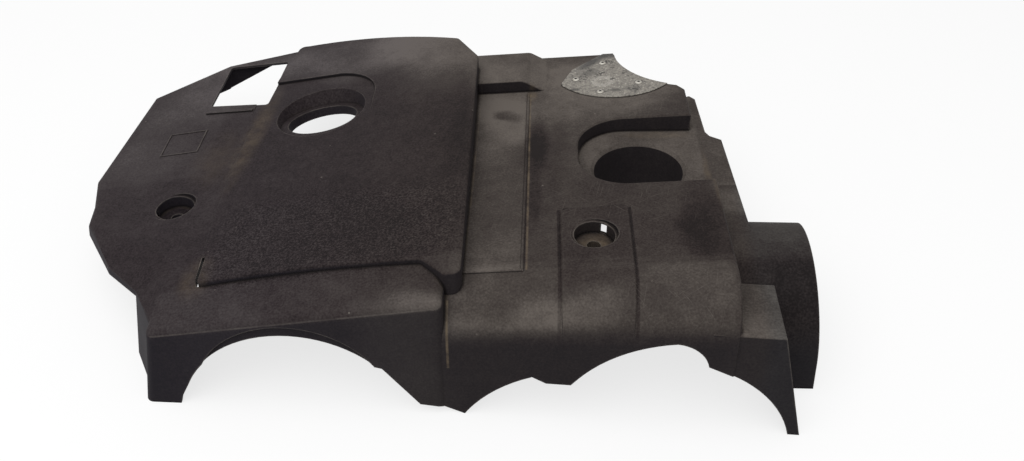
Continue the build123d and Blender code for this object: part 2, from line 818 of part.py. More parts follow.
def rib_outline(start, end, top):
    """Closed outline of a rib between two stations under a top given as a function."""
    Polyline(
        (start, top(start) - WALL / 2),
        (end, top(end) - WALL / 2),
        (end, top(end) - WALL - RIB_DEPTH),
        (start, top(start) - WALL - RIB_DEPTH),
        close=True,
    )


def rivet_plane(x, y):
    """Plane on the heat shield under a rivet's head."""
    climb = RIGHT_CLIMB + RIGHT_FALL * RIGHT_SWING
    return top_plane(x, y, right_z(x, y) + SHIELD_THICKNESS, climb, RIGHT_FALL)


outer_blocks = [
    left_body(0),
    pad_block(0),
    right_body(0),
    ledge_block(0),
    screw_pad(0),
    strip_bead(),
    deck_block(0),
    duct_block(0, DUCT_END_X),
    fin_block(0),
]
inner_blocks = [
    left_body(WALL),
    pad_block(WALL),
    right_body(WALL),
    ledge_block(WALL),
    screw_pad(WALL),
    deck_block(WALL),
    duct_block(WALL, DUCT_END_X + 20),
    fin_block(WALL),
]
well_tops = {LEFT_WELL: left_z(*LEFT_WELL), RIGHT_WELL: right_z(*RIGHT_WELL) + SCREW_PAD_LIFT}
slot_angles = {LEFT_WELL: LEFT_SLOT_ANGLE, RIGHT_WELL: RIGHT_SLOT_ANGLE}
slot_heights = {LEFT_WELL: LEFT_SLOT_HEIGHT, RIGHT_WELL: RIGHT_SLOT_HEIGHT}
outer_cuts = [filler_apron(0), filler_bowl(0), brow_cut(0), corner_cut(0)]
inner_cuts = [filler_apron(WALL), filler_bowl(WALL), brow_cut(WALL), corner_cut(WALL)]
for centre, top in well_tops.items():
    outer_cuts.append(well_space(centre, top, 0))
    inner_cuts.append(well_space(centre, top, WALL))
trims = [front_opening(), rim_trim(), rear_opening()]
collar = filter_collar()

with BuildPart() as hollow:
    for block in inner_blocks:
        add(block)
    for cut in inner_cuts:
        add(cut, mode=Mode.SUBTRACT)

with BuildPart() as cover_shell:
    for block in outer_blocks:
        add(block)
    for cut in outer_cuts:
        add(cut, mode=Mode.SUBTRACT)
    add(hollow.part, mode=Mode.SUBTRACT)

    # Open edges: the floor line, the front arches, the left rim and the rear legs
    with BuildSketch(Plane.XY):
        Rectangle(900, 700)
    extrude(amount=-3 * DEPTH_BELOW, mode=Mode.SUBTRACT)
    for trim in trims:
        add(trim, mode=Mode.SUBTRACT)

    # Filler hole with its collar
    with BuildSketch(filler_plane(0)):
        Circle(FILLER_RADIUS + WALL)
    extrude(amount=-FILLER_COLLAR)
    with BuildSketch(filler_plane(0)):
        Circle(FILLER_RADIUS)
    extrude(amount=3 * FILLER_COLLAR, both=True, mode=Mode.SUBTRACT)

    # Filter hole with its sleeve
    add(collar)
    with BuildSketch(filter_plane()):
        Circle(FILTER_RADIUS)
    extrude(amount=2 * FILTER_DEPTH, both=True, mode=Mode.SUBTRACT)
    chamfer(cover_shell.edges().filter_by(is_filter_rim), FILTER_RIM)

    # Fastener wells: boss and stud hole in the floor, slots through the cup
    for centre, top in well_tops.items():
        floor_z = top - WELL_DEPTH
        with BuildSketch(Plane(origin=(*centre, floor_z - WALL / 2))):
            Circle(STUD_RADIUS + BOSS_WALL)
        extrude(amount=-BOSS_DEPTH)
        with BuildSketch(Plane(origin=(*centre, floor_z))):
            Circle(STUD_RADIUS)
        extrude(amount=2 * BOSS_DEPTH, both=True, mode=Mode.SUBTRACT)
        with BuildSketch(Plane(origin=(*centre, floor_z + SLOT_LAND))):
            with PolarLocations(WELL_RADIUS - WALL, SLOT_COUNT, start_angle=slot_angles[centre]):
                Rectangle(SLOT_LENGTH, SLOT_WIDTH)
        extrude(amount=slot_heights[centre], mode=Mode.SUBTRACT)

    # Stiffening ribs under the pad and under the strip
    for y in PAD_RIBS_Y:
        with BuildSketch(Plane.XZ.offset(-y)):
            with BuildLine():
                rib_outline(PAD_LEFT_X + 8, PAD_RIGHT_X - WALL, lambda x: pad_z(x, y))
            make_face()
        extrude(amount=RIB_THICKNESS)
    with BuildSketch(Plane.YZ.offset(PAD_RIB_X)):
        with BuildLine():
            rib_outline(PAD_FRONT_Y + 8, 190, lambda y: pad_z(PAD_RIB_X, y))
        make_face()
    extrude(amount=RIB_THICKNESS)
    for x in STRIP_RIBS_X:
        with BuildSketch(Plane.YZ.offset(x)):
            with BuildLine():
                rib_outline(RIGHT_SKIRT_Y + HOOD_RADIUS, LEDGE_FRONT_Y, lambda y: right_z(x, y))
            make_face()
        extrude(amount=RIB_THICKNESS)

    # Holes for the shield's rivets
    for x, y in SHIELD_RIVETS:
        with BuildSketch(rivet_plane(x, y)):
            Circle(RIVET_RADIUS + RIVET_CLEARANCE)
        extrude(amount=-4 * WALL, mode=Mode.SUBTRACT)

    # Window and square mark of the left panel
    with BuildSketch(Plane.XY):
        with BuildLine():
            Polyline(*WINDOW, close=True)
        window = make_face()
        fillet(window.vertices(), WINDOW_RADIUS)
    extrude(amount=CEILING, mode=Mode.SUBTRACT)
    with BuildSketch(top_plane(*MARK_CENTRE, left_z(*MARK_CENTRE), LEFT_CLIMB, TOP_FALL)):
        Rectangle(MARK_SIZE, MARK_SIZE)
        Rectangle(MARK_SIZE - 2 * MARK_LINE, MARK_SIZE - 2 * MARK_LINE, mode=Mode.SUBTRACT)
    extrude(amount=MARK_HEIGHT, both=True)

    # Lip in front of the window and slit beside the pad's front left corner
    with BuildSketch(top_plane(*LIP_CENTRE, left_z(*LIP_CENTRE), LEFT_CLIMB, TOP_FALL)):
        Rectangle(*LIP_SIZE, rotation=LIP_TURN)
    extrude(amount=LIP_HEIGHT, both=True)
    with BuildSketch(Plane(origin=(*SLIT_CENTRE, 0))):
        Rectangle(*SLIT_SIZE, rotation=SLIT_TURN)
    extrude(amount=CEILING, mode=Mode.SUBTRACT)

with BuildPart() as heat_shield:
    with BuildSketch(side_plane(RIGHT_START_X, RIGHT_SWING, RIGHT_CLIMB)):
        with BuildLine():
            Polyline(
                (60, right_top(60)),
                (260, right_top(260)),
                (260, right_top(260) + SHIELD_THICKNESS),
                (60, right_top(60) + SHIELD_THICKNESS),
                close=True,
            )
        make_face()
    extrude(amount=run(RIGHT_EDGE_X, RIGHT_SWING, RIGHT_CLIMB), dir=(1, RIGHT_SWING, RIGHT_CLIMB))
    with BuildSketch(Plane.XY):
        with BuildLine():
            ThreePointArc((112, 127), (150, 98), (216, 119))
            Polyline((216, 119), (216, 170), (168, 200), (148, 181), (124, 157), (112, 127))
        face = make_face()
        fillet(face.vertices().sort_by(Axis.X)[:3], SHIELD_CORNER_RADIUS)
    extrude(amount=CEILING, mode=Mode.INTERSECT)
    with BuildSketch(Plane.XY):
        with BuildLine():
            right_outline()
        make_face()
        offset(amount=-SHIELD_MARGIN)
    extrude(amount=CEILING, mode=Mode.INTERSECT)
    for x, y in SHIELD_RIVETS:
        with BuildSketch(rivet_plane(x, y)):
            Circle(RIVET_RADIUS + RIVET_CLEARANCE)
        extrude(amount=2 * WALL, both=True, mode=Mode.SUBTRACT)

with BuildPart() as shield_rivets:
    grip = SHIELD_THICKNESS + WALL + RIVET_CLEARANCE
    for x, y in SHIELD_RIVETS:
        seat = rivet_plane(x, y)
        with BuildSketch(Plane(origin=seat.origin, x_dir=seat.x_dir, z_dir=-seat.y_dir)):
            with BuildLine():
                Polyline(
                    (RIVET_BORE_RADIUS, RIVET_HEAD),
                    (RIVET_HEAD_RADIUS - RIVET_HEAD, RIVET_HEAD),
                    (RIVET_HEAD_RADIUS, 0),
                    (RIVET_RADIUS, 0),
                    (RIVET_RADIUS, -grip),
                    (RIVET_HEAD_RADIUS, -grip),
                    (RIVET_HEAD_RADIUS, -grip - RIVET_HEAD),
                    (RIVET_BORE_RADIUS, -grip - RIVET_HEAD),
                    close=True,
                )
            make_face()
        revolve(axis=Axis(seat.origin, seat.z_dir))

cover_shell.part.label = "cover_shell"
heat_shield.part.label = "heat_shield"
shield_rivets.part.label = "shield_rivets"
os.makedirs("parts", exist_ok=True)
export_step(cover_shell.part, "parts/cover_shell.step")
export_step(heat_shield.part, "parts/heat_shield.step")
export_step(shield_rivets.part, "parts/shield_rivets.step")
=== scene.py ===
"""Studio scene of a moulded engine cover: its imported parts, dressed in worn plastic and dull metal."""
import logging
import math
from dataclasses import dataclass
from enum import Enum
from typing import Any, Optional, Union

import bpy
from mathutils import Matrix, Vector

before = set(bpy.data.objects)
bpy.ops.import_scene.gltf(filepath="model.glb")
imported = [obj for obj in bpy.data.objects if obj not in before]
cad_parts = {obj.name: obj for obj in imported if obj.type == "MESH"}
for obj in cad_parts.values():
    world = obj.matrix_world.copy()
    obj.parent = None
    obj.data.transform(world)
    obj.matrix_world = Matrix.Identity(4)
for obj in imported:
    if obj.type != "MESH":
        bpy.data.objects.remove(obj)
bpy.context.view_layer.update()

LOG = logging.getLogger("engine_cover")
IMAGE_WIDTH = 1024
MM = 0.001
WHITE = (1.0, 1.0, 1.0, 1.0)

# So large a scale that a height along it comes to nothing.
FAR = 1.0e5

# What a noise is on average.
MIDDLE = 0.5

# Rays that smooth an edge and that find a corner.
EDGE_SAMPLES = 6
CORNER_SAMPLES = 8

# Sockets of a Mix node that joins colours: its factor, its two colours and its result.
MIX_FACTOR = 0
MIX_UNDER = 6
MIX_OVER = 7
MIX_RESULT = 2

Colour = tuple[float, float, float]
Point2 = tuple[float, float]
Point3 = tuple[float, float, float]
Stops = tuple[tuple[float, Colour], ...]

# The two values between which a mask comes in.
Step = tuple[float, float]

# What a factor comes to where its noise or mask is 0 and where it is 1.
Span = tuple[float, float]

Number = Union["Wire", float]
Marks = tuple[Union["Spot", "Area"], ...]


class Node(Enum):
    """Kinds of shader node that the finishes and the studio use."""

    OUTPUT = "ShaderNodeOutputMaterial"
    WORLD_OUTPUT = "ShaderNodeOutputWorld"
    BACKGROUND = "ShaderNodeBackground"
    PRINCIPLED = "ShaderNodeBsdfPrincipled"
    DIFFUSE = "ShaderNodeBsdfDiffuse"
    EMISSION = "ShaderNodeEmission"
    MIX_SHADER = "ShaderNodeMixShader"
    LIGHT_PATH = "ShaderNodeLightPath"
    COORDINATES = "ShaderNodeTexCoord"
    GEOMETRY = "ShaderNodeNewGeometry"
    SEPARATE = "ShaderNodeSeparateXYZ"
    MAPPING = "ShaderNodeMapping"
    NOISE = "ShaderNodeTexNoise"
    VORONOI = "ShaderNodeTexVoronoi"
    GRADIENT = "ShaderNodeTexGradient"
    MATH = "ShaderNodeMath"
    VECTOR_MATH = "ShaderNodeVectorMath"
    MAP_RANGE = "ShaderNodeMapRange"
    MIX = "ShaderNodeMix"
    RAMP = "ShaderNodeValToRGB"
    BUMP = "ShaderNodeBump"
    BEVEL = "ShaderNodeBevel"
    OCCLUSION = "ShaderNodeAmbientOcclusion"


class Blend(Enum):
    """Ways to join two colours."""

    MIX = "MIX"
    TINT = "MULTIPLY"


class Wire:
    """Output of a shader node that takes part in Python arithmetic, one Math node an operation."""

    def __init__(self, graph: "Graph", socket: Optional[bpy.types.NodeSocket]) -> None:
        """Wraps an output socket of a graph, or None for a node that ends the graph."""
        self.graph = graph
        self.socket = socket

    def sibling(self, name: str) -> "Wire":
        """Another output of the same node."""
        return Wire(self.graph, self.socket.node.outputs[name])

    def maths(self, operation: str, first: Number, second: Number) -> "Wire":
        """The result of one new Math node."""
        return self.graph.add(Node.MATH, {"operation": operation}, {0: first, 1: second})

    def __add__(self, other: Number) -> "Wire":
        """Sum."""
        return self.maths("ADD", self, other)

    __radd__ = __add__

    def __sub__(self, other: Number) -> "Wire":
        """Difference."""
        return self.maths("SUBTRACT", self, other)

    def __rsub__(self, other: Number) -> "Wire":
        """Difference from a number."""
        return self.maths("SUBTRACT", other, self)

    def __mul__(self, other: Number) -> "Wire":
        """Product."""
        return self.maths("MULTIPLY", self, other)

    __rmul__ = __mul__

    def larger(self, other: Number) -> "Wire":
        """The larger of two values."""
        return self.maths("MAXIMUM", self, other)

    def clamped(self) -> "Wire":
        """The value held between 0 and 1."""
        return self.graph.add(Node.MATH, {"operation": "ADD", "use_clamp": True}, {0: self, 1: 0.0})

    def between(self, low: float, high: float) -> "Wire":
        """A value from 0 to 1 spread from low to high."""
        return self * (high - low) + low

    def swing(self, amount: Number) -> "Wire":
        """How far a noise lies from its middle, times an amount."""
        return (self - MIDDLE) * amount

    def rise(self, low: float, high: float) -> "Wire":
        """Smooth step of the value.

        Args:
            low: Where the step starts from 0.
            high: Where it reaches 1. It may be below low, for a step that falls.

        Returns:
            The stepped value.
        """
        ends = (0.0, 1.0) if low < high else (1.0, 0.0)
        sockets = {
            "Value": self,
            "From Min": min(low, high),
            "From Max": max(low, high),
            "To Min": ends[0],
            "To Max": ends[1],
        }
        return self.graph.add(Node.MAP_RANGE, {"interpolation_type": "SMOOTHSTEP"}, sockets)


class Graph:
    """Node tree of a material or of the world, with one method that adds any node.

    Places in it are in millimetres, in the part's own frame.
    """

    def __init__(self, owner: Union[bpy.types.Material, bpy.types.World]) -> None:
        """Empties the owner's node tree.

        Args:
            owner: The material or world.
        """
        owner.use_nodes = True
        self.owner = owner
        self.tree = owner.node_tree
        self.tree.nodes.clear()

    def add(
        self,
        kind: Node,
        settings: Optional[dict[str, Any]] = None,
        sockets: Optional[dict[Union[str, int], Any]] = None,
        output: Union[str, int] = 0,
    ) -> Wire:
        """Adds a node.

        Args:
            kind: The node's type.
            settings: Its properties, set before its sockets, with a ramp's stops under "stops".
            sockets: Values or wires of its inputs, by name or number.
            output: The output to return.

        Returns:
            The chosen output.
        """
        node = self.tree.nodes.new(kind.value)
        for name, value in (settings or {}).items():
            if name == "stops":
                fill_ramp(node.color_ramp, value)
            else:
                setattr(node, name, value)
        for key, value in (sockets or {}).items():
            if isinstance(value, Wire):
                self.tree.links.new(value.socket, node.inputs[key])
            else:
                node.inputs[key].default_value = value
        return Wire(self, node.outputs[output] if node.outputs else None)

    def place(self) -> Wire:
        """Position on the part, in millimetres."""
        metres = self.add(Node.COORDINATES, output="Object")
        return self.add(Node.VECTOR_MATH, {"operation": "SCALE"}, {0: metres, "Scale": 1.0 / MM})

    def split(self, vector: Wire) -> tuple[Wire, Wire, Wire]:
        """The three components of a vector."""
        x = self.add(Node.SEPARATE, sockets={0: vector}, output="X")
        return x, x.sibling("Y"), x.sibling("Z")

    def laid(self, vector: Wire, centre: Point2, turn: float, scale: Point2) -> Wire:
        """A place measured from a centre in plan, along a turned axis, in shares of a scale.

        Args:
            vector: The place.
            centre: The new origin.
            turn: Angle of the new axis from X, in degrees.
            scale: What one unit measures along the axis and across it.

        Returns:
            The new place, in which height hardly counts.
        """
        sockets = {
            "Vector": vector,
            "Location": (*centre, 0.0),
            "Rotation": (0.0, 0.0, math.radians(turn)),
            "Scale": (*scale, FAR),
        }
        return self.add(Node.MAPPING, {"vector_type": "TEXTURE"}, sockets)

    def blend(
        self,
        factor: Number,
        under: Union[Wire, Colour],
        over: Union[Wire, Colour],
        way: Blend = Blend.MIX,
    ) -> Wire:
        """Mixes two colours.

        Args:
            factor: Share of the second colour.
            under: The first colour.
            over: The second colour.
            way: How the second colour joins the first.

        Returns:
            The mixed colour.
        """
        ends = [value if isinstance(value, Wire) else (*value, 1.0) for value in (under, over)]
        settings = {"data_type": "RGBA", "blend_type": way.value}
        sockets = {MIX_FACTOR: factor, MIX_UNDER: ends[0], MIX_OVER: ends[1]}
        return self.add(Node.MIX, settings, sockets, MIX_RESULT)

    def bump(self, height: Wire, depth: float, below: Wire) -> Wire:
        """A normal bumped from the one below by a height, of which 1 measures a depth in millimetres."""
        return self.add(Node.BUMP, sockets={"Height": height, "Distance": depth * MM, "Normal": below})

    def eased(self, radius: float) -> Wire:
        """A surface normal that turns smoothly over edges, with a radius in millimetres."""
        return self.add(Node.BEVEL, {"samples": EDGE_SAMPLES}, {"Radius": radius * MM})

    def crease(self, reach: float) -> Wire:
        """How far a place lies in a corner, from 0 to 1, looking round it by a reach in millimetres."""
        return 1.0 - self.add(Node.OCCLUSION, {"samples": CORNER_SAMPLES}, {"Distance": reach * MM}, "AO")

    def ridge(self, reach: float) -> Wire:
        """How far a place lies on an outer edge, from 0 to 1, looking inside the wall by a reach."""
        settings = {"samples": CORNER_SAMPLES, "inside": True}
        return 1.0 - self.add(Node.OCCLUSION, settings, {"Distance": reach * MM}, "AO")

    def close(self, shader: Wire) -> bpy.types.Material:
        """Ends the graph with a shader and returns the material."""
        self.add(Node.OUTPUT, sockets={"Surface": shader})
        return self.owner


def fill_ramp(ramp: bpy.types.ColorRamp, stops: Stops) -> None:
    """Sets the stops of a colour ramp.

    Args:
        ramp: The ramp.
        stops: Position and colour of each stop, in order.
    """
    while len(ramp.elements) > 1:
        ramp.elements.remove(ramp.elements[-1])
    for number, (position, colour) in enumerate(stops):
        element = ramp.elements.new(position) if number else ramp.elements[0]
        element.position = position
        element.color = (*colour, 1.0)


@dataclass(frozen=True)
class Pattern:
    """Even noise about the middle.

    Attributes:
        size: Width of its blobs, in millimetres.
        detail: Its octaves.
        roughness: Weight of the finer octaves.
    """

    size: float
    detail: float = 3.0
    roughness: float = 0.55

    def over(self, graph: Graph, place: Wire) -> Wire:
        """Its value over the part.

        Args:
            graph: The graph that it joins.
            place: Where it is read.

        Returns:
            The value, from 0 to 1.
        """
        sockets = {
            "Vector": place,
            "Scale": 1.0 / self.size,
            "Detail": self.detail,
            "Roughness": self.roughness,
        }
        return graph.add(Node.NOISE, sockets=sockets)


@dataclass(frozen=True)
class Layer:
    """Soil, wear, painted shade or painted highlight that comes in as a value rises, or falls where its
    step does.

    Attributes:
        step: The values between which it comes in.
        strength: Its share of the colour.
        reach: Where it has one, how far it looks round a place or how large its marks are, in millimetres.
    """

    step: Step
    strength: float
    reach: float = 0.0

    def shown(self, value: Wire) -> Wire:
        """Where the layer lies, before its strength."""
        return value.rise(*self.step)


@dataclass(frozen=True)
class Spot:
    """Soft oval mark in plan.

    Attributes:
        centre: Its middle, in millimetres.
        reach: Its half widths along and across, in millimetres.
        amount: Its strength at the middle.
        turn: Angle of its length from X, in degrees.
        full: Share of the way to the middle at which it is at full strength.
    """

    centre: Point2
    reach: Point2
    amount: float
    turn: float = 0.0
    full: float = 0.75

    def mask(self, graph: Graph, place: Wire) -> Wire:
        """Its strength over the part.

        Args:
            graph: The graph that it joins.
            place: Where it is read.

        Returns:
            The strength, which is 0 outside the mark.
        """
        local = graph.laid(place, self.centre, self.turn, self.reach)
        middle = graph.add(Node.GRADIENT, {"gradient_type": "SPHERICAL"}, {"Vector": local}, "Fac")
        return middle.rise(0.0, self.full) * self.amount


@dataclass(frozen=True)
class Area:
    """Rectangle in plan with soft edges, which may be held to a range of heights.

    Attributes:
        x: Its ends along X, in millimetres.
        y: Its ends along Y, in millimetres.
        amount: Its strength.
        soft: Half width of its edges, in millimetres.
        z: Its lowest and highest places, in millimetres, or None for any height.
    """

    x: Point2
    y: Point2
    amount: float
    soft: float = 2.0
    z: Optional[Point2] = None

    def mask(self, graph: Graph, place: Wire) -> Wire:
        """Its strength over the part.

        Args:
            graph: The graph that it joins.
            place: Where it is read.

        Returns:
            The strength, which is 0 outside the area.
        """
        inside: Number = self.amount
        for value, ends in zip(graph.split(place), (self.x, self.y, self.z)):
            if ends:
                inside = value.rise(ends[0] - self.soft, ends[0] + self.soft) * inside
                inside = value.rise(ends[1] + self.soft, ends[1] - self.soft) * inside
        return inside


def total(graph: Graph, place: Wire, marks: Marks) -> Wire:
    """Sum of marks.

    Args:
        graph: The graph that they join.
        place: Where they are read.
        marks: The marks.

    Returns:
        The summed strength.
    """
    strength = marks[0].mask(graph, place)
    for mark in marks[1:]:
        strength = strength + mark.mask(graph, place)
    return strength


# Middle of the right fastener well, in plan, in millimetres.
RIGHT_WELL: Point2 = (135.5, -125.0)


@dataclass(frozen=True)
class WearAndLightMap:
    """Where the moulding is faded, stained, dusty and scratched, and where light and shade are painted on
    it.

    Attributes:
        panels: Tone of each panel, with the lines and stains that keep their place; some of them paint
            light and shade.
        fades: Pale patches, which stray a little; those on the hood also paint its sheen.
        stains: Dark patches, which stray a little.
        side_fades: Pale and dark patches of the upright faces.
        dusted: Tan dust in grooves and wells and beside edges.
        tints: Colour casts, each with its area.
        front_roll: The front edge below the pad, with a painted highlight and some wear where it turns
            over.
        coarse_pad: Where the grain is coarser.
        scratched: Where scratches show.
    """

    panels: Marks = (
        Area((-340.0, -184.0), (-95.0, 230.0), 0.06, 6.0),  # left panel
        Area((-345.0, -218.0), (-6.0, 235.0), 0.08, 3.0),  # left panel behind its soft crease: painted light, paler where it turns towards the light
        Area((-208.0, 21.0), (-207.0, -161.0), 0.13),  # band in front of the pad
        Area((33.5, 79.0), (-166.0, 118.0), 0.36),  # strip
        Area((82.0, 238.0), (-160.0, 192.0), 0.16),  # right panel
        Area((14.0, 98.0), (118.0, 180.0), 0.18, 2.0, (0.0, 110.0)),  # ledge
        Area((22.0, 239.0), (-226.0, -160.0), 0.33, 8.0),  # hood: faded, with painted sheen on its roll
        Area((120.0, 275.0), (-30.0, 120.0), 0.35, 1.0, (60.0, 99.5)),  # filter deck
        Area((238.0, 275.0), (-68.0, -30.0), 0.35, 8.0),  # flange in front of the deck
        Area((-247.0, -207.0), (-69.0, -29.0), -0.16, 1.0, (0.0, 73.0)),  # left well
        Area((241.0, 275.0), (-224.0, -147.0), 0.52),  # shelf
        Area((242.0, 330.0), (-125.0, -40.0), 0.22, 8.0),  # crown of the duct: painted highlight along its top
        Area((276.0, 330.0), (-170.0, -110.0), -0.12, 10.0),  # front of the duct
        Area((106.2, 109.0), (-215.0, -88.0), -0.30, 0.7),  # screw pad's left line: painted shade along its step
        Area((163.8, 166.4), (-215.0, -88.0), -0.34, 0.7),  # screw pad's right line: painted shade along its step
        Area((110.0, 163.0), (-170.0, -88.0), -0.09),  # screw pad
        Area((109.0, 164.0), (-230.0, -170.0), -0.15),  # screw pad's run over the hood
        Area((168.0, 238.0), (-165.0, -110.0), -0.06, 6.0),  # right panel beside the screw pad
        Area((111.0, 162.0), (-88.4, -86.2), -0.34, 0.7),  # screw pad's rear line: painted shade along its step
        Spot((90.0, 24.0), (13.0, 62.0), -0.45),  # oil beside the strip's bead
        Spot((88.0, -60.0), (9.0, 70.0), -0.16),  # oil run towards the hood
    )
    fades: Marks = (
        Spot((0.0, 205.0), (110.0, 150.0), 0.66),  # pad's rear right
        Spot((-110.0, 190.0), (110.0, 70.0), 0.50),  # pad's rear left
        Spot((-235.0, 160.0), (100.0, 100.0), 0.38),  # left panel's rear
        Spot((-285.0, 40.0), (60.0, 80.0), 0.16),  # left panel's outer side
        Spot((56.0, 70.0), (45.0, 100.0), 0.34),  # strip's rear
        Spot((145.0, 125.0), (115.0, 95.0), 0.66),  # right panel's rear
        Spot((110.0, 40.0), (70.0, 100.0), 0.18),  # right panel beside the strip
        Spot((70.0, -210.0), (140.0, 24.0), 0.46),  # hood's left: faded, with painted sheen on its roll
        Spot((215.0, -212.0), (60.0, 30.0), 0.10),  # hood's right
    )
    stains: Marks = (
        Spot((97.0, 10.0), (22.0, 95.0), -0.16),  # right panel beside the strip
        Spot((78.0, 20.0), (9.0, 60.0), -0.24),  # strip's right edge
        Spot((60.0, 77.0), (17.0, 15.0), -0.50),  # strip's rear
        Spot((220.0, -112.0), (28.0, 72.0), -0.26),  # right panel's front corner
        Spot((20.0, 20.0), (28.0, 110.0), -0.12),  # pad's right edge
        Spot((-60.0, -100.0), (110.0, 70.0), -0.08),  # pad's front
    )
    side_fades: Marks = (
        Spot((-10.0, -212.0), (50.0, 40.0), 0.26),  # front skirt beside the hood
        Spot((255.0, -225.0), (60.0, 30.0), 0.10),  # fin and the skirt beside it
        Spot((280.0, -95.0), (60.0, 60.0), 0.16),  # duct's flank
        Spot((-208.0, -170.0), (40.0, 70.0), -0.12),  # left front foot
    )
    dusted: Marks = (
        Area((22.4, 24.2), (-250.0, -160.0), 0.62, 0.5, (50.0, 104.0)),  # groove left of the hood
        Area((81.6, 83.2), (-165.0, 112.0), 0.50, 0.6),  # groove right of the strip
        Spot((34.6, -20.0), (1.1, 190.0), 0.24),  # strip's left edge
        Spot((-178.0, 52.0), (15.0, 115.0), 0.20, -4.0),  # pad's left edge
        Spot((-180.0, -150.0), (18.0, 30.0), 0.19),  # round the slit
        Spot((-206.0, 20.0), (30.0, 60.0), 0.09),  # behind the left well
        Spot((84.0, 108.0), (7.0, 14.0), 0.45),  # rear end of the strip's groove
        Spot((240.0, -40.0), (5.0, 80.0), 0.25),  # right panel's outer edge
        Spot(RIGHT_WELL, (19.0, 19.0), 0.55),  # right well's floor
        Spot(RIGHT_WELL, (7.5, 7.5), -0.90),  # right well's bore
        Spot((200.0, 50.0), (40.0, 8.0), 0.22),  # deck's rear
    )
    tints: tuple[tuple[Colour, Area], ...] = (
        ((0.98, 1.00, 1.14), Area((-420.0, -50.0), (-320.0, 320.0), 1.0, 120.0)),  # left end
        ((0.92, 1.00, 1.06), Area((262.0, 340.0), (-260.0, -30.0), 0.9, 8.0)),  # duct and fin
    )
    front_roll: Area = Area((-206.0, 20.0), (-240.0, -196.0), 1.0)
    coarse_pad: Area = Area((-172.0, 30.0), (-158.0, -66.0), 1.0, 14.0)
    scratched: Marks = (
        Spot((140.0, 95.0), (120.0, 90.0), 1.0),  # right panel's rear
        Spot((150.0, -60.0), (110.0, 120.0), 0.7),  # right panel's front
        Spot((56.0, -20.0), (45.0, 190.0), 0.6),  # strip
        Spot((200.0, -190.0), (60.0, 40.0), 0.9),  # hood's right
    )


